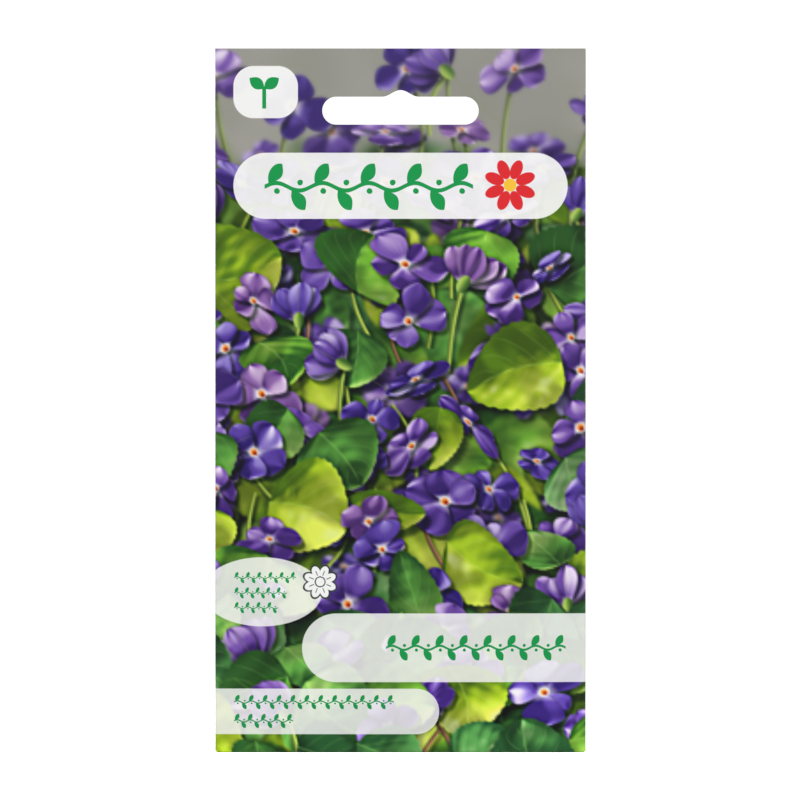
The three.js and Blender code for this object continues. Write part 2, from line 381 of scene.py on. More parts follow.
def paintFlower(canvas, rng, x, s, size, tones, soft):
    # Petals of uneven length round a small eye, foreshortened by the flower's tilt
    p = flowerLook
    found = canvas.window(x, s, size * 0.8)
    if found is None:
        return
    where, dx, dy = found
    canvas.darken(where, softStep(size * 0.62, size * 0.2, np.hypot(dx - 1.6, dy - 2.4)) * 0.3)
    tilt = rng.choice([rng.uniform(*tilts) for tilts in p["tilts"]], p=p["tiltShares"])
    dx, dy = leaned(dx, dy, rng.uniform(-0.9, 0.9), tilt)
    start = rng.uniform(0, wholeTurn)
    for k in rng.permutation(p["petals"]):
        turn = start + k * wholeTurn / p["petals"] + rng.normal(0, p["uneven"])
        length = size * rng.uniform(*p["petalLength"])
        width = length * rng.uniform(*p["petalWidth"])
        paintPetal(canvas, rng, where, dx, dy, turn, length, width, tones, soft)
    for tone, rim, full, share, (right, down) in p["eye"]:
        away = np.hypot(dx - right, dy - down)
        canvas.lay(where, tone, softStep(size * rim, size * full, away) * share)


def paintSideFlower(canvas, rng, x, s, size, turn, tones, soft):
    # A half-open flower from the side: petals fan out of a green calyx, the middle one in front. The calyx
    # is a small ellipse that lies along the flower's own line.
    p = flowerLook
    found = canvas.window(x, s, size * 0.9)
    if found is None:
        return
    where, dx, dy = found
    for lean in p["sideLeans"]:
        length = size * rng.uniform(*p["sideLength"])
        width = length * rng.uniform(*p["sideWidth"])
        paintPetal(canvas, rng, where, dx, dy, turn + lean, length, width, tones, soft)
    a, b = turned(dx, dy, turn)
    calyx = size * 0.10 * np.sqrt(np.clip(1 - ((a - size * 0.02) / (size * 0.16)) ** 2, 0, 1)) - np.abs(b)
    tone = mixColours(*p["calyx"], softStep(size * 0.08, -size * 0.08, b))
    canvas.lay(where, tone, softStep(-soft, soft, calyx))


def paintStalk(canvas, rng, x, s, stalk, colour):
    # A thin band along a bowed line, lighter on its lit side
    length, turn, bow = (rng.uniform(*stalk[name]) for name in ("length", "turn", "bow"))
    found = canvas.window(x, s, length)
    if found is None:
        return
    where, dx, dy = found
    along, across = turned(dx, dy, turn)
    across = across - bow * np.sin(np.pi * np.clip(along / length, 0, 1))
    inside = np.minimum(stalk["half"] - np.abs(across), np.minimum(along, length - along))
    tone = mixColours(colour * 0.45, colour * 1.15, softStep(stalk["half"], -stalk["half"], across))
    canvas.darken(where, softStep(-0.8, 0.5, castShade(inside, 5, 4)) * 0.5)
    canvas.lay(where, tone, softStep(-stalk["soft"], stalk["soft"], inside))


def paintPicture(p):
    rng = np.random.default_rng(p["seed"])
    canvas = Canvas(p)
    shape = canvas.shape
    sOfRow = (canvas.s0 + (np.arange(shape[0]) + 0.5) * canvas.cell)[:, None] * np.ones(shape)

    def scatter(count, s0, s1):
        # best-candidate scatter: each new place is the one of twelve tries farthest from the others
        places = np.empty((0, 2))
        for _ in range(count):
            tries = np.column_stack([rng.uniform(canvas.x0, -canvas.x0, 12), rng.uniform(s0, s1, 12)])
            away = np.linalg.norm(tries[:, None] - places[None], axis=2).min(axis=1, initial=500.0)
            places = np.vstack([places, tries[np.argmax(away)]])
        return places

    def fromAbove(places):
        return places[np.argsort(places[:, 1])]

    def pick(kind, shares):
        return p[kind + "Tones"][rng.choice(4, p=p[shares])]

    # Ground: near-black green with dim patches, then leaves far back, blurred and in shade
    patches = softStep(0.35, 0.9, softNoise(rng, shape, 60))
    canvas.rgb[:] = mixColours(shade(8, 20, 8), shade(40, 62, 20), patches)
    for x, s in scatter(p["farLeaves"], 18, 176):
        paintLeaf(canvas, rng, x, s, p["farLeafSize"], p["leafTones"][rng.choice([0, 1, 2])], 0.6)
    canvas.rgb[:] = blurred(canvas.rgb, 4) * 0.75
    # Warm grey backdrop above the bed, its edge uneven
    edge = p["skyLine"] + 9 * (softNoise(rng, shape, 55) - 0.5) + 5 * (softNoise(rng, shape, 22) - 0.5)
    grey = mixColours(shade(150, 146, 140), shade(120, 119, 112), softNoise(rng, shape, 80))
    grey = mixColours(grey, shade(108, 112, 94), softNoise(rng, shape, 45) * 0.4)
    canvas.rgb[:] = mixColours(canvas.rgb, grey, softStep(4.0, -4.0, sOfRow - edge))
    canvas.solid[:] = softStep(-2.0, 6.0, sOfRow - edge)
    # Leaves and flowers in the middle distance, a little soft
    for x, s in fromAbove(scatter(p["leaves"], 34, 176)):
        paintLeaf(canvas, rng, x, s, p["leafSize"], pick("leaf", "leafShares"), 0.3)
    for x, s in fromAbove(scatter(p["farFlowers"], 20, 140)):
        tones = pick("petal", "petalShares")
        paintFlower(canvas, rng, x, s, rng.uniform(*p["farFlowerSize"]), tones, 0.4)
    canvas.rgb[:] = blurred(canvas.rgb, 1.8) * (0.92 + 0.08 * softStep(60, 20, sOfRow))[..., None]
    for x, s in scatter(p["stems"], 30, 165):
        tone = shade(160, 190, 60) if rng.random() < 0.6 else shade(140, 96, 62)
        paintStalk(canvas, rng, x, s, p["bedStalk"], tone)
    # Leaves and flowers in front, the lower ones over the upper
    flowers = np.vstack([scatter(p["highFlowers"], 3, 26), scatter(p["flowers"], 28, 166)])
    leaves = np.vstack([scatter(p["frontLeaves"], 52, 150), scatter(p["lowLeaves"], 140, 178)])
    for s, x, kind in sorted([(s, x, "flower") for x, s in flowers] + [(s, x, "leaf") for x, s in leaves]):
        tones = pick("petal", "petalShares")
        size = rng.uniform(*p["flowerSize"])
        if s < 30:
            paintStalk(canvas, rng, x, s, p["highStalk"], shade(128, 150, 70))
        if kind == "leaf":
            paintLeaf(canvas, rng, x, s, p["leafSize"], pick("leaf", "frontLeafShares"), 0.22)
        elif rng.random() < p["sideShare"]:
            paintStalk(canvas, rng, x, s, p["sideStalk"], shade(150, 182, 62))
            paintSideFlower(canvas, rng, x, s, size * 0.8, rng.uniform(-2.9, -0.3), tones, 0.2)
        else:
            paintFlower(canvas, rng, x, s, size, tones, 0.2)
    # More light falls on the bed's near side, at the bottom
    canvas.rgb[:] = canvas.rgb * (1 + p["nearLight"] * softStep(138, 164, sOfRow))[..., None]
    # The lens: sharp in the bed, a little soft towards the top, with a faint haze there
    topShare = softStep(46, 14, sOfRow)
    canvas.rgb[:] = mixColours(canvas.rgb, blurred(canvas.rgb, 3.0), topShare * p["topBlur"])
    canvas.rgb[:] = mixColours(canvas.rgb, shade(158, 156, 148), topShare * p["haze"])
    # Crisp print: what differs from its surroundings is strengthened, and then the finest strokes are
    # evened out to the width of the panel's own cells
    canvas.rgb[:] = canvas.rgb + p["crispness"] * (canvas.rgb - blurred(canvas.rgb, 3.0))
    canvas.rgb[:] = np.clip(blurred(canvas.rgb, 0.8), 0, 1) ** p["lift"]
    return canvas


print("painting the front")
canvas = paintPicture(picture)


def puffAt(x, z):
    # Fullness of the pocket: a flattened round across, eased in below the seal line, and closing towards
    # the bottom fold by a cube of the distance from it.
    inner = halfWidth - packet["edgeFlat"]
    across = np.clip(1 - (x / inner) ** 2, 0, 1) ** 0.75
    below = softStep(0, 1, (sealLine - z) / packet["sealEase"])
    above = 1 - (1 - np.clip((z - bottomEdge - packet["paper"]) / packet["bottomEase"], 0, 1)) ** 3
    return packet["puff"] * across * below * above


def gridPoints(x, y, z):
    return np.stack(np.broadcast_arrays(x, y, z), axis=-1)


def newObject(name, data):
    thing = bpy.data.objects.new(name, data)
    bpy.context.scene.collection.objects.link(thing)
    return thing


def finishShading(mesh, sharpest=50.0):
    mesh.polygons.foreach_set("use_smooth", np.ones(len(mesh.polygons), bool))
    mesh.set_sharp_from_angle(angle=np.radians(sharpest))
    mesh.update()


def meshPiece(name, points, groups, slots, materials):
    # Groups of faces, each with its material's slot. Points that coincide are merged, and the shading is
    # smooth except over sharp edges.
    mesh = bpy.data.meshes.new(name)
    mesh.from_pydata(points.tolist(), [], [face for group in groups for face in group.tolist()])
    mesh.polygons.foreach_set("material_index", np.repeat(slots, [len(group) for group in groups]))
    shell = bmesh.new()
    shell.from_mesh(mesh)
    bmesh.ops.remove_doubles(shell, verts=shell.verts, dist=0.0002 * mm)
    bmesh.ops.dissolve_degenerate(shell, edges=shell.edges, dist=0.0002 * mm)
    shell.to_mesh(mesh)
    shell.free()
    for material in materials:
        mesh.materials.append(material)
    finishShading(mesh)
    return newObject(name, mesh)


def standFor(piece, node):
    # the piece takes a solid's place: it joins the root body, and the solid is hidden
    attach(piece, "root")
    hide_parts(node)
    print(piece.name, len(piece.data.polygons), "faces")


def gridFaces(rows, cols, start=0):
    # quads of a grid stored row by row, seen from -Y with x to the right and rows running down
    k = start + np.arange(rows - 1)[:, None] * cols + np.arange(cols - 1)[None, :]
    return np.stack([k, k + cols, k + cols + 1, k + 1], axis=-1).reshape(-1, 4)


def aroundGrid(rows, cols):
    # indices round the border: along the top, down the right side, back along the bottom, up the left
    grid = np.arange(rows * cols).reshape(rows, cols)
    return np.concatenate([grid[0, :-1], grid[:-1, -1], grid[-1, :0:-1], grid[:0:-1, 0]])


def closedSheet(outer, inner, keepRows, keepCols):
    # A sheet with a fine outer face and a coarser inner one, which keeps the given rows and columns. Round
    # the border a fan of triangles joins each inner corner to the fine outer edges that follow it.
    rows, cols = outer.shape[:2]
    fine = aroundGrid(rows, cols)
    held = aroundGrid(len(keepRows), len(keepCols))
    fineOfHeld = keepRows[held // len(keepCols)] * cols + keepCols[held % len(keepCols)]
    placeOf = np.zeros(rows * cols, int)
    placeOf[fine] = np.arange(len(fine))
    owner = np.searchsorted(placeOf[fineOfHeld], np.arange(len(fine)), side="right") - 1
    held = held + rows * cols
    fans = np.column_stack([fine, np.roll(fine, -1), held[owner]])
    links = np.column_stack([np.roll(fineOfHeld, -1), np.roll(held, -1), held])
    points = np.vstack([outer.reshape(-1, 3), inner[np.ix_(keepRows, keepCols)].reshape(-1, 3)])
    back = gridFaces(len(keepRows), len(keepCols), rows * cols)[:, ::-1]
    return points, [gridFaces(rows, cols), back, fans, links], [0, 1, 1, 1]


def kept(*runs):
    # stations kept out of runs that follow each other, each a count and a step; a run's last always is
    starts = np.cumsum([0] + [count for count, step in runs])
    return np.concatenate([start + np.unique(np.append(np.arange(0, count, step), count - 1))
                           for start, (count, step) in zip(starts, runs)])


def slotOutline():
    # Round the hang slot: a long hole with full-round ends, and in the middle of its upper edge a hump
    # whose height is a squared cosine of the distance from the middle.
    radius = packet["slotHeight"] / 2
    reach = packet["slotWidth"] / 2 - radius
    upper = topEdge - packet["slotTop"]
    turn = np.linspace(-np.pi / 2, np.pi / 2, 25)
    hump = np.linspace(packet["notchHalf"], -packet["notchHalf"], 25)
    rise = packet["notchHeight"] * np.cos(np.pi * hump / (2 * packet["notchHalf"])) ** 2
    x = np.concatenate([reach + radius * np.cos(turn), hump, -reach - radius * np.cos(turn)])
    z = np.concatenate([radius * np.sin(turn), rise + radius, -radius * np.sin(turn)]) + upper - radius
    return x, z


def punchSlot(piece, bareSlot):
    # cuts the hang slot through a sheet, and gives the cut edges the bare paper
    x, z = slotOutline()
    ring = np.arange(len(x))
    points = np.vstack([gridPoints(x, y, z) for y in (-mm, mm)])
    sides = np.column_stack([ring, ring + len(x), np.roll(ring, -1) + len(x), np.roll(ring, -1)])
    caps = [ring.tolist(), (ring + len(x))[::-1].tolist()]
    mesh = bpy.data.meshes.new("punch")
    mesh.from_pydata(points.tolist(), [], sides.tolist() + caps)
    punch = newObject("punch", mesh)
    cut = piece.modifiers.new("hang slot", "BOOLEAN")
    cut.operation = "DIFFERENCE"
    cut.solver = "MANIFOLD"
    cut.object = punch
    bpy.context.view_layer.update()
    cutMesh = bpy.data.meshes.new_from_object(piece.evaluated_get(bpy.context.evaluated_depsgraph_get()))
    piece.modifiers.remove(cut)
    bpy.data.objects.remove(punch)
    cutMesh.name = piece.data.name
    piece.data = cutMesh
    middle, normal = np.empty((2, len(cutMesh.polygons), 3))
    slots = np.empty(len(cutMesh.polygons), int)
    for name, values in (("center", middle), ("normal", normal), ("material_index", slots)):
        cutMesh.polygons.foreach_get(name, values.ravel())
    across, up = np.abs(middle[:, 0]), middle[:, 2]
    near = (across < x.max() + mm) & (up > z.min() - mm) & (up < z.max() + mm)
    slots[near & (np.abs(normal[:, 1]) < 0.5)] = bareSlot
    cutMesh.polygons.foreach_set("material_index", slots)
    finishShading(cutMesh)


def setInputs(node, inputs):
    # each input takes a number, a colour, a field or another node's output
    for key, value in inputs.items():
        if isinstance(value, Field):
            value = value.socket
        if isinstance(value, bpy.types.NodeSocket):
            node.id_data.links.new(value, node.inputs[key])
        else:
            node.inputs[key].default_value = value


def addNode(tree, kind, inputs, **settings):
    node = tree.nodes.new("ShaderNode" + kind)
    for name, value in settings.items():
        setattr(node, name, value)
    setInputs(node, inputs)
    return node


class Field:
    # A value or colour that varies over the surface. Sums, products and the rest add Math nodes for it.
    def __init__(self, socket):
        self.socket = socket
        self.tree = socket.id_data

    __add__ = lambda self, other: calc("ADD", self, other)
    __sub__ = lambda self, other: calc("SUBTRACT", self, other)
    __rsub__ = lambda self, other: calc("SUBTRACT", other, self)
    __mul__ = lambda self, other: calc("MULTIPLY", self, other)
    __truediv__ = lambda self, other: calc("DIVIDE", self, other)
    __abs__ = lambda self: calc("ABSOLUTE", self)
    least = lambda self, other: calc("MINIMUM", self, other)
    most = lambda self, other: calc("MAXIMUM", self, other)
    floor = lambda self: calc("FLOOR", self)

    def ease(self, start, end, low=0.0, high=1.0):
        # smooth passage from low at start to high at end, which may lie either way round
        if start > end:
            start, end, low, high = end, start, high, low
        inputs = {"Value": self, "From Min": start, "From Max": end, "To Min": low, "To Max": high}
        node = addNode(self.tree, "MapRange", inputs, interpolation_type="SMOOTHSTEP")
        return Field(node.outputs["Result"])


def calc(operation, *values):
    tree = next(value.tree for value in values if isinstance(value, Field))
    return Field(addNode(tree, "Math", dict(enumerate(values)), operation=operation).outputs[0])


def distance(a, b):
    return calc("SQRT", a * a + b * b)


def noiseField(place, scale, detail=2.0, roughness=0.5):
    inputs = {"Vector": place, "Scale": scale, "Detail": detail, "Roughness": roughness}
    return Field(addNode(place.tree, "TexNoise", inputs).outputs["Fac"])


def overlay(under, colour, share):
    # colour laid over what is under it, by a share from 0 to 1; each is a field or plain display values. A
    # Mix node's factor is its input 0, and its colours are inputs 6 and 7 and output 2.
    under, colour = ((*c, 1.0) if isinstance(c, np.ndarray) else c for c in (under, colour))
    return Field(addNode(share.tree, "Mix", {0: share, 6: under, 7: colour}, data_type="RGBA").outputs[2])


def asLight(colour):
    # display values to the linear ones that the shader takes
    return Field(addNode(colour.tree, "Gamma", {"Color": colour, "Gamma": 2.2}).outputs[0])


def newMaterial(name):
    # an empty node material with its surface node, and the object's own coordinates
    material = bpy.data.materials.new(name)
    material.use_nodes = True
    tree = material.node_tree
    tree.nodes.clear()
    surface = addNode(tree, "BsdfPrincipled", {})
    addNode(tree, "OutputMaterial", {"Surface": surface.outputs[0]})
    return material, surface, Field(addNode(tree, "TexCoord", {}).outputs["Object"])


def inMillimetres(place):
    # x across from the middle, y front to back, s down from the packet's top edge
    apart = addNode(place.tree, "SeparateXYZ", {0: place})
    x, y, z = (Field(socket) * (1 / mm) for socket in apart.outputs)
    return x, y, topEdge / mm - z


def raiseBump(surface, height, depth, strength):
    bump = addNode(height.tree, "Bump", {"Strength": strength, "Distance": depth, "Height": height})
    setInputs(surface, {"Normal": bump.outputs[0]})


def paperFinish(surface, place, colour, finish):
    # Paper: fibres as fine bump, a faint cloudiness of tone, and a roughness that drifts with the fibres
    fibres = noiseField(place, finish["fibreScale"], 3.0, 0.6)
    clouds = noiseField(place, finish["cloudScale"])
    toned = overlay(colour, finish["fibreTone"], (fibres - 0.5) * (clouds * 2.0) * finish["fibreShare"])
    drift = finish["roughnessDrift"]
    setInputs(surface, {
        "Base Color": asLight(toned),
        "Roughness": fibres * drift + (finish["roughness"] - drift / 2),
        "Specular IOR Level": finish["specular"],
        "Coat Weight": finish["coat"],
        "Coat Roughness": finish["coatRoughness"],
    })
    raiseBump(surface, fibres, finish["fibreHeight"], finish["fibreStrength"])


coatedPaper = {
    "fibreScale": 2600.0,
    "cloudScale": 220.0,
    "fibreTone": shade(120, 118, 112),
    "fibreShare": 0.10,
    "fibreHeight": 0.02 * mm,
    "fibreStrength": 0.35,
    "roughness": 0.46,
    "roughnessDrift": 0.12,
    "specular": 0.24,
    "coat": 0.06,
    "coatRoughness": 0.34,
}
barePaper = {
    "fibreScale": 1900.0,
    "cloudScale": 160.0,
    "fibreTone": shade(150, 140, 124),
    "fibreShare": 0.35,
    "fibreHeight": 0.05 * mm,
    "fibreStrength": 0.6,
    "roughness": 0.86,
    "roughnessDrift": 0.10,
    "specular": 0.25,
    "coat": 0.0,
    "coatRoughness": 0.5,
}


def pill(x, s, field):
    # signed distance in mm to a rectangle with rounded corners, below zero inside
    (cx, cs), (hx, hs), corner = field["middle"], field["half"], field["corner"]
    dx = (abs(x - cx) - (hx - corner)).most(0.0)
    ds = (abs(s - cs) - (hs - corner)).most(0.0)
    return distance(dx, ds) - corner


def oval(x, s, field):
    # distance scaled from the ellipse's own radius, near enough to mm along its rim
    (cx, cs), (hx, hs) = field["middle"], field["half"]
    return (distance((x - cx) / hx, (s - cs) / hs) - 1.0) * min(hx, hs)


# A row of vine, in shares of its height
vineLook = {
    "bay": 0.6,                # length of a half wave, which is stretched to fill the row
    "wave": 0.10,
    "stalk": 0.055,
    "leafFoot": 0.19,          # left of the bay's middle
    "leafLean": 1.0,           # in radians, up from the row
    "leafLength": 0.64,
    "leafFull": 0.7,
    "berryAt": (0.02, -0.21),
    "berry": 0.075,
}


def vineGroup(p):
    # One node group for every row. The stalk is a sine along the row, and each half wave has a leaf, above
    # and below by turns, with a berry opposite. A leaf is two arcs that meet in points: it lies where
    # |off| < full height t (1 - t), with t from 0 at its foot to 1 at its tip and off across it.
    tree = bpy.data.node_groups.new("vine row", "ShaderNodeTree")
    for name in ("along", "up", "length", "height", "bay"):
        tree.interface.new_socket(name, in_out="INPUT", socket_type="NodeSocketFloat")
    tree.interface.new_socket("cover", in_out="OUTPUT", socket_type="NodeSocketFloat")
    entry = tree.nodes.new("NodeGroupInput")
    along, up, length, height, bay = (Field(socket) for socket in entry.outputs[:5])
    count = along / bay
    index = count.floor()
    inBay = (count - index - 0.5) * bay
    side = 1.0 - (index - (index * 0.5).floor() * 2.0) * 2.0
    stalkLine = calc("SINE", count * np.pi) * height * p["wave"]
    pastEnds = (along * -1.0).most(along - length)
    stalk = (abs(up - stalkLine) - height * p["stalk"]).most(pastEnds)
    across = (up - stalkLine) * side
    run, off = turned(inBay + height * p["leafFoot"], across, p["leafLean"])
    run = run / (height * p["leafLength"])
    leaf = abs(off) - height * p["leafFull"] * run * (1.0 - run)
    berryX, berryUp = p["berryAt"]
    berry = distance(inBay - height * berryX, across - height * berryUp) - height * p["berry"]
    shape = stalk.least(leaf.least(berry).most(pastEnds))
    setInputs(tree.nodes.new("NodeGroupOutput"), {0: shape.ease(0.05, -0.05)})
    return tree


vine = vineGroup(vineLook)


def vineRow(x, s, row):
    # places one row of whole bays: it runs from its left end, and its middle line lies at the given s
    length = row["to"] - row["from"]
    inputs = {"along": x - row["from"], "up": row["line"] - s, "length": length, "height": row["height"],
              "bay": length / round(length / (vineLook["bay"] * row["height"]))}
    return Field(addNode(x.tree, "Group", inputs, node_tree=vine).outputs[0])


def petalPlace(x, s, flower):
    # a place as seen from the nearest petal's middle, along it and across it, and its distance from the
    # flower's middle
    (cx, cs), petals = flower["middle"], flower["petals"]
    dx, ds = x - cx, cs - s
    sector = wholeTurn / petals
    angle = calc("ARCTAN2", ds, dx) / sector + petals
    off = (angle - angle.floor() - 0.5) * sector
    away = distance(dx, ds)
    run = away * calc("COSINE", off) - flower["radius"] * flower["petalAt"]
    return run, away * calc("SINE", off), away


def bloom(x, s, flower):
    # A flower from above: distances to its petals, each an ellipse on its own ray, and to its round middle
    run, across, away = petalPlace(x, s, flower)
    long, wide = flower["radius"] * flower["petalHalf"], flower["radius"] * flower["petalWide"]
    return (distance(run / long, across / wide) - 1.0) * wide, away - flower["radius"] * flower["eye"]


def petalStrokes(x, s, flower):
    # a short line down the inner part of every petal
    run, across, _ = petalPlace(x, s, flower)
    long = flower["radius"] * flower["petalHalf"]
    return (abs(across) - flower["stroke"]).most(abs(run + long * 0.2) - long * 0.4)


# A seedling, in shares of its height
sproutLook = {
    "stalk": 0.055,
    "stalkMiddle": -0.18,
    "stalkHalf": 0.32,
    "fork": 0.08,              # where the leaves leave the stalk
    "leafLean": 0.62,
    "leafLength": 0.52,
    "leafFull": 0.66,
}


def sproutShape(x, s, sprout):
    # a short stalk with two pointed leaves, mirrored about its middle line
    p = sproutLook
    (cx, cs), height = sprout["middle"], sprout["height"]
    across, up = abs(x - cx) / height, (cs - s) / height
    stalk = (across - p["stalk"]).most(abs(up - p["stalkMiddle"]) - p["stalkHalf"])
    run, off = turned(across, up - p["fork"], p["leafLean"])
    run = run / p["leafLength"]
    leaf = abs(off) - run * (1.0 - run) * p["leafFull"]
    return stalk.least(leaf) * height


def layMarks(colour, share, marks):
    # prints marks one over the other, each a distance in mm, its ink and the softness of its edge
    for mark, ink, soft in marks:
        colour = overlay(colour, ink, mark.ease(soft, -soft) * share)
    return colour


# Printed fields on the front, in mm: x across from the middle, s down from the top edge
label = {
    "ink": shade(22, 150, 76),
    "paper": shade(250, 250, 248),
    "fields": [                # the first is an oval, the others are pills; cover is how much they hide
        {"middle": (-33.6, 131.93), "half": (14.6, 8.4), "cover": 0.87},
        {"middle": (-32.75, 10.6), "half": (7.85, 6.35), "corner": 4.9, "cover": 0.95},
        {"middle": (0.0, 33.37), "half": (40.6, 8.05), "corner": 8.05, "cover": 0.93},
        {"middle": (15.55, 145.5), "half": (39.45, 8.35), "corner": 8.35, "cover": 0.87},
        {"middle": (-22.8, 160.97), "half": (32.2, 5.55), "corner": 5.55, "cover": 0.87},
    ],
    "fieldEdge": 0.12,
    "rows": [
        {"from": -33.0, "to": 17.6, "line": 33.6, "height": 9.2},
        {"from": -40.4, "to": -25.4, "line": 128.5, "height": 2.2},
        {"from": -40.4, "to": -27.6, "line": 132.2, "height": 2.2},
        {"from": -40.4, "to": -29.8, "line": 135.8, "height": 2.2},
        {"from": -3.5, "to": 40.1, "line": 145.5, "height": 5.0},
        {"from": -40.4, "to": -1.6, "line": 158.7, "height": 2.8},
        {"from": -40.4, "to": -26.1, "line": 163.3, "height": 2.8},
    ],
    "rosette": {"middle": (26.6, 33.2), "radius": 6.5, "petals": 8, "petalAt": 0.62, "petalHalf": 0.37,
                "petalWide": 0.215, "eye": 0.24},
    "rosetteRed": shade(222, 44, 50),
    "rosetteEye": shade(250, 196, 60),
    "daisy": {"middle": (-19.5, 129.5), "radius": 4.1, "petals": 8, "petalAt": 0.62, "petalHalf": 0.36,
              "petalWide": 0.25, "eye": 0.26, "stroke": 0.09},
    "daisyLine": shade(52, 62, 56),
    "daisyRim": 0.3,
    "eyeRim": 0.25,
    "sprout": {"middle": (-33.1, 10.4), "height": 8.4},
    "flapPaper": shade(238, 239, 230),
    "wear": 0.45,
}


def printedMaterial(p):
    material, surface, place = newMaterial("printed paper")
    x, y, s = inMillimetres(place)
    front = y.ease(0.30, 0.10)
    colour = Field(addNode(place.tree, "Attribute", {}, attribute_name="print").outputs["Color"])
    for field in p["fields"]:
        shape = pill if "corner" in field else oval
        mark = (shape(x, s, field), p["paper"], p["fieldEdge"])
        colour = layMarks(colour, front * field["cover"], [mark])
    for row in p["rows"]:
        colour = overlay(colour, p["ink"], vineRow(x, s, row) * front)
    petal, eye = bloom(x, s, p["rosette"])
    daisyPetal, daisyEye = bloom(x, s, p["daisy"])
    colour = layMarks(colour, front, [
        (petal, p["rosetteRed"], 0.08),
        (eye, p["rosetteEye"], 0.08),
        (daisyPetal - p["daisyRim"], p["daisyLine"], 0.08),
        (daisyPetal, p["paper"], 0.08),
        (petalStrokes(x, s, p["daisy"]), p["daisyLine"], 0.06),
        (daisyEye - p["eyeRim"], p["daisyLine"], 0.08),
        (daisyEye, p["paper"], 0.08),
        (sproutShape(x, s, p["sprout"]), p["ink"], 0.08),
    ])
    # behind, the picture ends a few mm past the fold
    past = (halfWidth / mm - abs(x)).least((topEdge - bottomEdge) / mm - s)
    bleed = packet["bleed"] / mm
    colour = overlay(colour, p["flapPaper"], past.ease(bleed - 0.05, bleed + 0.05) * y.ease(0.32, 0.36))
    # folds rubbed pale in patches
    patches = noiseField(place, 700.0, 4.0, 0.65).ease(0.48, 0.66)
    colour = overlay(colour, p["paper"], past.ease(0.32, 0.02) * patches * p["wear"])
    paperFinish(surface, place, colour, coatedPaper)
    return material


def bareMaterial(name, colour, finish):
    material, surface, place = newMaterial(name)
    tint = overlay(colour, colour * 0.975, noiseField(place, 60.0).ease(0.2, 0.8))
    paperFinish(surface, place, tint, finish)
    return material


# The back's plain print, in mm
backPrint = {
    "ground": shade(240, 241, 232),
    "cloud": shade(240, 241, 232) * (0.95, 0.985, 0.93),
    "green": shade(98, 152, 66),
    "stripeTone": shade(226, 206, 92),
    "paper": shade(252, 252, 249),
    "line": shade(150, 172, 138),
    "sowing": shade(240, 190, 70),
    "flowering": shade(132, 100, 178),
    "water": shade(92, 150, 190),
    "soilTone": shade(132, 94, 62),
    "soilDark": shade(88, 60, 40),
    "bandTo": 25.0,
    "stripe": (0.35, 1.45),    # from and to, below the band
    "vine": {"from": -36.0, "to": 36.0, "line": 4.9, "height": 5.0},
    "panel": {"middle": (0.0, 62.0), "half": (29.0, 27.0), "corner": 3.0},
    "rules": {"from": 41.0, "pitch": 5.25, "half": 25.0, "count": 9, "thick": 0.13},
    "signs": {"sun": (-20.0, 104.0), "drop": (0.0, 104.0), "leaf": (20.0, 104.0)},
    "signRadius": 6.2,
    "boxes": {"from": -27.0, "pitch": 4.5, "half": (1.85, 2.4)},
    "years": [                 # a row's middle, its first and last filled box, and their ink
        (122.0, 7, 9, "sowing"),
        (129.0, 3, 6, "flowering"),
    ],
    "soil": {"middle": (0.0, 151.2), "half": (27.5, 2.3), "corner": 1.4},
    "growth": [(20.5, 4.6), (7.0, 6.4), (-7.5, 8.4), (-21.0, 10.4)],     # seedlings: across, and height
}


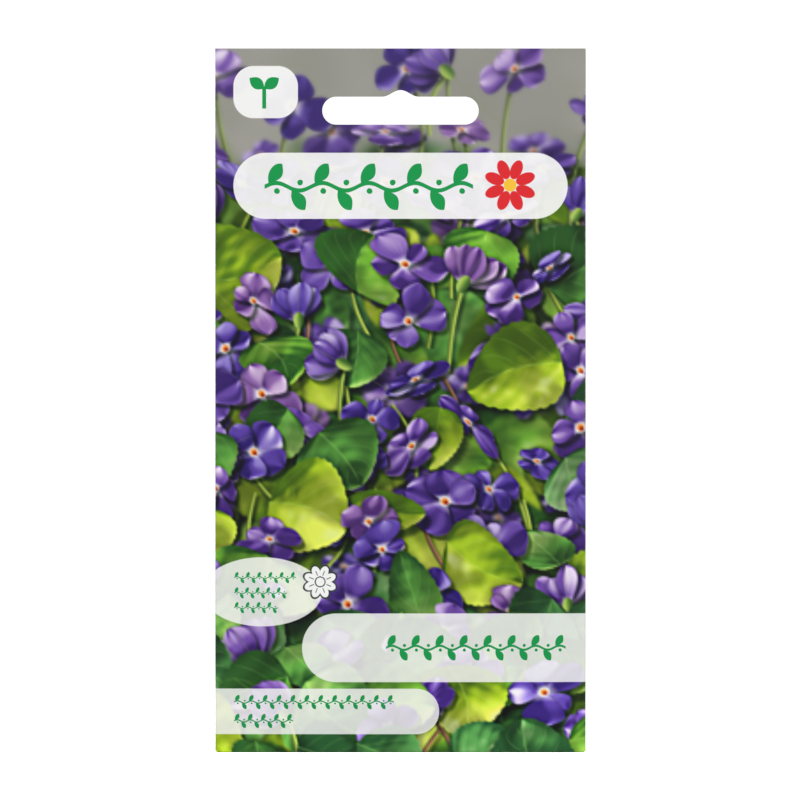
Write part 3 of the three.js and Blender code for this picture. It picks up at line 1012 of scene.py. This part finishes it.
def backMaterial(p):
    material, surface, place = newMaterial("back paper")
    x, y, s = inMillimetres(place)
    behind = y.ease(0.02, 0.12)
    colour = overlay(p["ground"], p["cloud"], noiseField(place, 30.0).ease(0.3, 0.7))
    colour = overlay(colour, p["green"], s.ease(p["bandTo"] + 0.06, p["bandTo"] - 0.06) * behind)
    stripeFrom, stripeTo = p["stripe"]
    stripe = abs(s - (p["bandTo"] + (stripeFrom + stripeTo) / 2)) - (stripeTo - stripeFrom) / 2
    colour = layMarks(colour, behind, [(stripe, p["stripeTone"], 0.06)])
    colour = overlay(colour, label["paper"], vineRow(x, s, p["vine"]) * behind)
    # ruled lines: the distance to the nearest line of the set, cut off past the outermost and the ends
    rules = p["rules"]
    line = (s - rules["from"]) / rules["pitch"]
    nearest = abs(line - (line + 0.5).floor()) * rules["pitch"] - rules["thick"]
    pastSet = (abs(line - (rules["count"] - 1) / 2) - rules["count"] / 2) * rules["pitch"]
    panel = pill(x, s, p["panel"])
    marks = [(panel, p["paper"], 0.08), (abs(panel) - 0.18, p["line"], 0.05),
             (nearest.most(pastSet).most(abs(x) - rules["half"]), p["line"], 0.05)]
    # three round signs: a sun, a drop and a seedling
    for cx, cs in p["signs"].values():
        ring = distance(x - cx, s - cs) - p["signRadius"]
        marks += [(ring, p["paper"], 0.08), (abs(ring) - 0.25, p["green"], 0.05)]
    rays, disc = bloom(x, s, {"middle": p["signs"]["sun"], "radius": 4.4, "petals": 10, "petalAt": 0.80,
                              "petalHalf": 0.17, "petalWide": 0.06, "eye": 0.48})
    # the drop is a round, with a peak between two slanted lines that meet above it
    (dropX, dropS), (leafX, leafS) = p["signs"]["drop"], p["signs"]["leaf"]
    dx, up = abs(x - dropX), dropS - s
    drop = (distance(dx, up + 1.1) - 2.3).least((dx * 0.87 + (up - 3.5) * 0.5).most(up * -1.0 - 0.4))
    seedling = sproutShape(x, s, {"middle": (leafX, leafS + 0.4), "height": 8.0})
    sun = rays.least(disc)
    marks += [(sun, p["sowing"], 0.06), (drop, p["water"], 0.06), (seedling, p["green"], 0.06)]
    # a year of boxes in two rows, some of them filled
    boxes = p["boxes"]
    bay = (x - boxes["from"]) / boxes["pitch"]
    index = bay.floor()
    bx = abs((bay - index - 0.5) * boxes["pitch"]) - boxes["half"][0]
    for middle, first, last, ink in p["years"]:
        box = bx.most(abs(s - middle) - boxes["half"][1]).most(abs(x) + boxes["from"])
        chosen = (abs(index - (first + last) / 2) - (last - first + 1) / 2).most(box)
        marks += [(box, p["paper"], 0.05), (chosen, p[ink], 0.05), (abs(box) - 0.12, p["green"], 0.05)]
    # a strip of soil with four seedlings, each taller than the last, and the seed that each came from
    soilTop = p["soil"]["middle"][1] - p["soil"]["half"][1]
    crumbs = noiseField(place, 900.0, 3.0, 0.7).ease(0.42, 0.62)
    marks.append((pill(x, s, p["soil"]), overlay(p["soilTone"], p["soilDark"], crumbs), 0.08))
    for cx, height in p["growth"]:
        sprout = {"middle": (cx, soilTop - height / 2 + 0.3), "height": height}
        grain = distance((x - cx) / 1.3, s - soilTop - 1.6) - 0.62
        marks += [(sproutShape(x, s, sprout), p["green"], 0.06), (grain, p["paper"], 0.06)]
    paperFinish(surface, place, layMarks(colour, behind, marks), coatedPaper)
    return material


# Seed coats: brown, mottled darker, some paler, with a slight gloss
seedTones = {
    "brown": shade(150, 112, 70),
    "dark": shade(96, 66, 38),
    "pale": shade(196, 160, 108),
    "paleShare": 0.6,
    "mottleScale": 1400.0,
    "patchScale": 420.0,
    "relief": 0.06 * mm,
    "roughness": 0.38,
}


def seedMaterial(p):
    material, surface, place = newMaterial("seed coat")
    mottle = noiseField(place, p["mottleScale"], 4.0, 0.6)
    patches = noiseField(place, p["patchScale"], 1.0).ease(0.5, 0.75)
    colour = overlay(p["brown"], p["dark"], mottle.ease(0.4, 0.7))
    colour = overlay(colour, p["pale"], patches * p["paleShare"])
    setInputs(surface, {"Base Color": asLight(colour), "Roughness": p["roughness"]})
    raiseBump(surface, mottle, p["relief"], 0.5)
    return material


print("mixing the papers")
printedPaper = printedMaterial(label)
backPaper = backMaterial(backPrint)
cutPaper = bareMaterial("cut paper edge", shade(240, 238, 232), barePaper)
sachetPaper = bareMaterial("sachet paper", shade(238, 234, 224), barePaper)
seedCoat = seedMaterial(seedTones)

# The front sheet's own grid and folds
frontSheet = {
    "columns": 208,
    "headerRows": 63,
    "pocketRows": 333,
    "keepEach": 6,             # the inside face keeps every sixth station
    "foldSteps": 5,
    "bleedSteps": 6,
    "restSteps": 2,
    "ripple": 0.07 * mm,       # pleats that run out from the seal line and the bottom corners
    "sealPleats": 23,          # radians of wave to half the width
    "sealReach": (6, 34),      # in mm: where they are full, and where they end
    "cornerReach": (8, 40),
}
foldRadius = packet["paper"] + packet["glue"] / 2
foldMiddle = foldRadius - packet["paper"] / 2
foldRun = np.pi * foldRadius


def foldStations(flap):
    # distances past a fold line: round the fold, over the printed bleed, then on to the flap's edge
    p, bleed = frontSheet, packet["bleed"]
    turnPart = foldRun * np.arange(1, p["foldSteps"] + 1) / p["foldSteps"]
    bleedPart = foldRun + bleed * np.arange(1, p["bleedSteps"] + 1) / p["bleedSteps"]
    rest = foldRun + bleed + (flap - bleed) * np.arange(1, p["restSteps"] + 1) / p["restSteps"]
    return np.concatenate([turnPart, bleedPart, rest])


def ripples(x, z):
    # Slight pleats: waves across that fade below the seal line, and slanted ones by the bottom corners
    p = frontSheet
    u, below, above = x / halfWidth, (sealLine - z) / mm, (z - bottomEdge) / mm
    seal = np.cos(u * p["sealPleats"] + 1.1 * np.sin(u * 5))
    corner = np.cos((np.abs(u) * 45 + above) * 0.33) * softStep(0.25, 0.8, np.abs(u))
    near = 0
    for wave, past, (full, end) in ((seal, below, p["sealReach"]), (corner, above, p["cornerReach"])):
        near = near + wave * softStep(0, full, past) * softStep(end, full, past)
    return p["ripple"] * near * softStep(1.0, 0.9, np.abs(u))


def foldedFace(rise):
    # The front sheet at a distance rise outside its middle plane, as a grid of rows and columns. A station
    # past a fold line goes round the fold, by an angle of distance over radius, then straight back over
    # the panel. Flaps end at slanted edges, and the stations beyond an edge all lie on it.
    p = frontSheet
    flapHigh = sealLine - packet["foldGap"]
    foldZ = bottomEdge + foldRadius + packet["paper"] / 2
    headerZ = np.linspace(topEdge, flapHigh + packet["header"] / p["headerRows"], p["headerRows"])
    pocketZ = np.linspace(flapHigh, foldZ, p["pocketRows"])
    pastBottom, pastSide = foldStations(packet["bottomFlap"]), foldStations(packet["flap"])
    rowZ = np.concatenate([headerZ, pocketZ, np.full(len(pastBottom), foldZ)])[:, None]
    rowPast = np.concatenate([np.zeros(len(headerZ) + len(pocketZ)), pastBottom])[:, None]
    across = np.pad(np.linspace(-1, 1, p["columns"] + 1), len(pastSide), mode="edge")
    colPast = np.concatenate([pastSide[::-1], np.zeros(p["columns"] + 1), pastSide])
    side = np.sign(across) * (colPast > 0)
    folded = rowZ <= flapHigh
    slant = (flapHigh - rowZ) * packet["flap"] / packet["flapTaper"]
    mitre = rowZ - bottomEdge - packet["mitreGap"]
    reach = foldRun + np.clip(np.minimum(slant, mitre), 0, packet["flap"])
    sidePast = np.minimum(colPast, np.where(folded & (rowPast == 0), reach, 0))
    sideAngle = np.minimum(sidePast / foldRadius, np.pi)
    edge = np.where(folded, halfWidth - foldRadius - packet["paper"] / 2, halfWidth)
    radius = foldRadius + rise
    x = across * edge + side * (radius * np.sin(sideAngle) - np.maximum(sidePast - foldRun, 0))
    bottomPast = np.minimum(rowPast, foldRun + np.clip(halfWidth - np.abs(x), 0, packet["bottomFlap"]))
    bottomAngle = np.minimum(bottomPast / foldRadius, np.pi)
    z = rowZ - radius * np.sin(bottomAngle) + np.maximum(bottomPast - foldRun, 0)
    angle = np.maximum(sideAngle, bottomAngle)
    fullness = puffAt(x, z) + np.where(angle == 0, ripples(x, z), 0)
    return gridPoints(x, foldMiddle - (radius + fullness) * np.cos(angle), z)


def printedPlace(points):
    # where each point lies on the flat picture, in mm; behind, the picture runs on past its edge
    x, y, z = points.T
    pastSide, pastBottom = halfWidth - np.abs(x), z - bottomEdge
    behind, nearSide = y > foldMiddle, pastSide <= pastBottom
    px = x + np.where(behind & nearSide, np.sign(x) * 2 * pastSide, 0)
    ps = topEdge - z + np.where(behind & ~nearSide, 2 * pastBottom, 0)
    return px / mm, ps / mm


def paintOnto(mesh):
    points = np.empty(len(mesh.vertices) * 3)
    mesh.vertices.foreach_get("co", points)
    colours = np.ones((len(mesh.vertices), 4))
    colours[:, :3] = canvas.at(*printedPlace(points.reshape(-1, 3)))
    mesh.color_attributes.new("print", "FLOAT_COLOR", "POINT").data.foreach_set("color", colours.ravel())


print("folding the front sheet")
each = frontSheet["keepEach"]
past = (len(foldStations(packet["flap"])), 1)
keptRows = kept((frontSheet["headerRows"], each), (frontSheet["pocketRows"], each), past)
keptCols = kept(past, (frontSheet["columns"] + 1, each), past)
outerFace, innerFace = foldedFace(packet["paper"] / 2), foldedFace(-packet["paper"] / 2)
front = meshPiece("printed_front", *closedSheet(outerFace, innerFace, keptRows, keptCols),
                  [printedPaper, cutPaper])
punchSlot(front, 1)
paintOnto(front.data)
standFor(front, "front_sheet")

# The back sheet, held inside the folds
backSheet = {"columns": 96, "rows": 180, "keepEach": 2}


def backFace(rise):
    # The back panel at a distance rise in front of its outer side: it mirrors the front's fullness. Its
    # columns run from right to left, so that the outer face is laid out as seen from behind.
    p = backSheet
    reach = halfWidth - packet["foldGap"] - packet["paper"]
    x = np.linspace(reach, -reach, p["columns"] + 1)[None]
    z = np.linspace(topEdge, bottomEdge + packet["foldGap"] + packet["paper"], p["rows"] + 1)[:, None]
    return gridPoints(x, puffAt(x, z) + packet["paper"] - rise, z)


print("laying the back sheet")
keptRows, keptCols = (kept((backSheet[name] + 1, backSheet["keepEach"])) for name in ("rows", "columns"))
outerFace, innerFace = backFace(0.0), backFace(packet["paper"])
back = meshPiece("plain_back", *closedSheet(outerFace, innerFace, keptRows, keptCols),
                 [backPaper, cutPaper])
punchSlot(back, 1)
standFor(back, "back_sheet")

# The inner sachet: two leaves sealed together along a crimped rim
sachet = {
    "width": 48.0 * mm,
    "height": 66.0 * mm,
    "leaf": 0.18 * mm,
    "seal": 4.0 * mm,
    "puff": 0.95 * mm,
    "lift": 4.5 * mm,          # its lower edge above the packet's bottom fold
    "easeLow": 12.0 * mm,
    "easeHigh": 40.0 * mm,
    "crimp": 0.045 * mm,
    "crimpPitch": 1.33 * mm,
    "pucker": 0.06 * mm,
    "puckerWaves": (900, 1300),     # radians of wave to a metre, on the two slants
    "rimSteps": 12,
    "columns": 64,             # between the rims
    "rows": 92,
    "keepEach": 4,
}
sachetLow = bottomEdge + sachet["lift"]
sachetHigh = sachetLow + sachet["height"]


def acrossRims(length, count):
    # stations from 0 to length, closer along the sealed rims than between them
    seal = sachet["seal"]
    rim = np.linspace(0, seal, sachet["rimSteps"] + 1)
    between = np.linspace(seal, length - seal, count + 1)[1:-1]
    return np.concatenate([rim, between, length - rim[::-1]])


def leafFace(side, rise):
    # One leaf at a distance rise outside its inner face. The pocket is a half ellipse across, parabolic at
    # its foot and eased out to the top. Both leaves share the rim's ridges, a sine of the distance from
    # the edge, and beside the rim the paper puckers as a product of two sines that dies away inwards.
    p, seal = sachet, sachet["seal"]
    half = p["width"] / 2
    x = acrossRims(p["width"], p["columns"])[None] - half
    z = sachetHigh - acrossRims(p["height"], p["rows"])[:, None]
    fromEdge = np.minimum(half - np.abs(x), np.minimum(z - sachetLow, sachetHigh - z))
    up = np.clip((z - sachetLow - seal) / p["easeLow"], 0, 1)
    down = softStep(0, 1, (sachetHigh - seal - z) / p["easeHigh"])
    across = np.sqrt(np.clip(1 - (x / (half - seal)) ** 2, 0, 1))
    full = p["puff"] * across * (1 - (1 - up) ** 2) * down
    onRim = softStep(0.2 * mm, 0.6 * mm, fromEdge) * softStep(seal, seal - 0.5 * mm, fromEdge)
    ridges = p["crimp"] * np.sin(wholeTurn * fromEdge / p["crimpPitch"]) * onRim
    beside = softStep(0, mm, fromEdge - seal) * softStep(9 * mm, mm, fromEdge - seal)
    rising, falling = p["puckerWaves"]
    pucker = p["pucker"] * np.sin(rising * (x + z)) * np.sin(falling * (x - z) + side) * beside
    return gridPoints(x, side * (full + rise + pucker * (full > 0.2 * mm)) + ridges, z)


def sachetLeaf(name, node, side):
    # the front leaf is laid out from the left and the back leaf from the right, so that both face outwards
    outer, inner = leafFace(side, sachet["leaf"])[:, ::-side], leafFace(side, 0.0)[:, ::-side]
    keptRows, keptCols = (kept((count, sachet["keepEach"])) for count in outer.shape[:2])
    points, groups, slots = closedSheet(outer, inner, keptRows, keptCols)
    leaf = meshPiece(name, points, groups, np.zeros_like(slots), [sachetPaper])
    standFor(leaf, node)


# The seed: grains one deep in staggered rows, leaning at random
seedHeap = {
    "seed": 17,
    "size": (1.10 * mm, 1.00 * mm, 1.72 * mm),
    "pitch": 1.14 * mm,
    "rowPitch": 1.42 * mm,
    "halfWidth": 7.5 * mm,
    "rows": 4,
    "lift": 11.5 * mm,         # the lowest row's middle above the sachet's lower edge
    "lean": 0.35,
    "around": 14,
    "along": 11,
}


def grains(p):
    # Every grain is the same egg, radius sin(v)^0.85 (1 - 0.18 cos v) round its length cos v, with a low
    # keel down one side; it is sized, leaned in the plane of the sachet and put in its row.
    rng = np.random.default_rng(p["seed"])
    rowOf = np.arange(p["rows"])
    reach = p["halfWidth"] * np.sqrt(1 - (rowOf / p["rows"]) ** 2)
    counts = np.round(2 * reach / p["pitch"]).astype(int) + 1
    row = np.repeat(rowOf, counts)
    place = np.concatenate([np.arange(n) - (n - 1) / 2 for n in counts]) + (row % 2) / 2
    centre = np.stack([place * p["pitch"], rng.uniform(-0.12, 0.12, len(row)) * mm,
                       sachetLow + p["lift"] + row * p["rowPitch"]], axis=-1)
    spin = np.linspace(0, wholeTurn, p["around"] + 1)[None, None]
    v = np.linspace(0, np.pi, p["along"])[None, :, None]
    twist = rng.uniform(0, wholeTurn, len(row))[:, None, None]
    girth = np.abs(np.sin(v)) ** 0.85 * (1 - 0.18 * np.cos(v)) * (1 + 0.06 * np.cos(spin - twist) ** 12)
    a, b, c = (np.array(p["size"]) / 2 * rng.uniform(0.9, 1.0, (len(row), 1))).T[..., None, None]
    lean = rng.uniform(-p["lean"], p["lean"], len(row))[:, None, None]
    x, z = turned(a * girth * np.cos(spin), c * np.cos(v), lean)
    points = gridPoints(x, b * girth * np.sin(spin), z) + centre[:, None, None]
    grid = gridFaces(p["along"], p["around"] + 1)
    faces = grid[None] + np.arange(len(row))[:, None, None] * p["along"] * (p["around"] + 1)
    return points.reshape(-1, 3), faces.reshape(-1, 4)


print("filling the sachet")
sachetLeaf("sachet_leaf_front", "sachet_front", -1)
sachetLeaf("sachet_leaf_back", "sachet_back", 1)
grainPoints, grainFaces = grains(seedHeap)
seeds = meshPiece("seed_grains", grainPoints, [grainFaces], [0], [seedCoat])
standFor(seeds, "seeds")

# Pale studio: a wide bowl whose floor lies under the packet and turns up into the backdrop
studio = {
    "floorDrop": 60 * mm,
    "flatTo": 1.9,
    "radius": 3.2,
    "wallTop": 2.6,
    "around": 96,
    "paper": shade(246, 246, 244),
    "floorGlow": 0.36,
    "wallGlow": 0.74,
    "glowReach": (0.3, 1.5),   # where the one gives way to the other, from the middle
    "worldStrength": 0.25,
    "lights": [                # name, place, width, watts
        ("key left", (-1.05, -1.15, 0.75), 0.9, 19.0),
        ("fill right", (1.15, -1.10, 0.35), 1.1, 15.0),
        ("back left", (-0.9, 1.25, 0.85), 1.0, 15.0),
        ("back right", (1.1, 1.15, 0.45), 1.0, 13.0),
    ],
    "lens": 277.9,
    "cameraAway": 1.5,
    "pixel": 0.1943 / 800,     # one of the picture's 800 pixels, at the packet
}
middleZ = (topEdge + bottomEdge) / 2
white = (1.0, 1.0, 1.0, 1.0)


def studioBowl(p):
    # A surface of revolution: a flat disc, a quarter round, then a straight wall
    floorZ = bottomEdge - p["floorDrop"]
    bend = p["radius"] - p["flatTo"]
    turn = np.linspace(0, np.pi / 2, 25)
    radii = np.concatenate([[0, 0.5, 1.2], p["flatTo"] + bend * np.sin(turn), [p["radius"]]])[:, None]
    heights = np.concatenate([np.zeros(3), bend * (1 - np.cos(turn)), [p["wallTop"]]])[:, None] + floorZ
    spin = np.linspace(0, wholeTurn, p["around"] + 1)
    points = gridPoints(radii * np.cos(spin), radii * np.sin(spin), heights)
    material, surface, place = newMaterial("studio paper")
    x, y, _ = inMillimetres(place)
    glow = distance(x * mm, y * mm).ease(*p["glowReach"], p["floorGlow"], p["wallGlow"])
    colour = overlay(p["paper"], p["paper"] * 0.99, noiseField(place, 40.0))
    setInputs(surface, {"Base Color": asLight(colour), "Roughness": 0.9, "Specular IOR Level": 0.0,
                        "Emission Color": white, "Emission Strength": glow})
    faces = gridFaces(len(radii), len(spin))
    bowl = meshPiece("studio_bowl", points.reshape(-1, 3), [faces], [0], [material])
    bowl.visible_diffuse = False
    bowl.visible_glossy = False
    bowl.visible_shadow = False


def softBox(name, place, width, watts):
    # a square studio light that faces the packet's middle
    light = bpy.data.lights.new(name, "AREA")
    light.size = width
    light.energy = watts
    lamp = newObject(name, light)
    lamp.location = place
    lamp.rotation_euler = (Vector((0, 0, middleZ)) - lamp.location).to_track_quat("-Z", "Y").to_euler()


print("setting the studio")
studioBowl(studio)
for light in studio["lights"]:
    softBox(*light)
world = bpy.data.worlds.new("soft surround")
world.use_nodes = True
setInputs(world.node_tree.nodes["Background"], {"Color": white, "Strength": studio["worldStrength"]})
scene = bpy.context.scene
scene.world = world
scene.view_settings.view_transform = "Standard"
scene.view_settings.look = "None"

lens = bpy.data.cameras.new("camera")
lens.lens = studio["lens"]
lens.sensor_width = 36.0
lens.clip_start = 0.05
lens.clip_end = 20.0
camera = newObject("camera", lens)
camera.location = (-0.5 * studio["pixel"], -studio["cameraAway"], middleZ + 0.5 * studio["pixel"])
camera.rotation_euler = (np.pi / 2, 0, 0)
scene.camera = camera
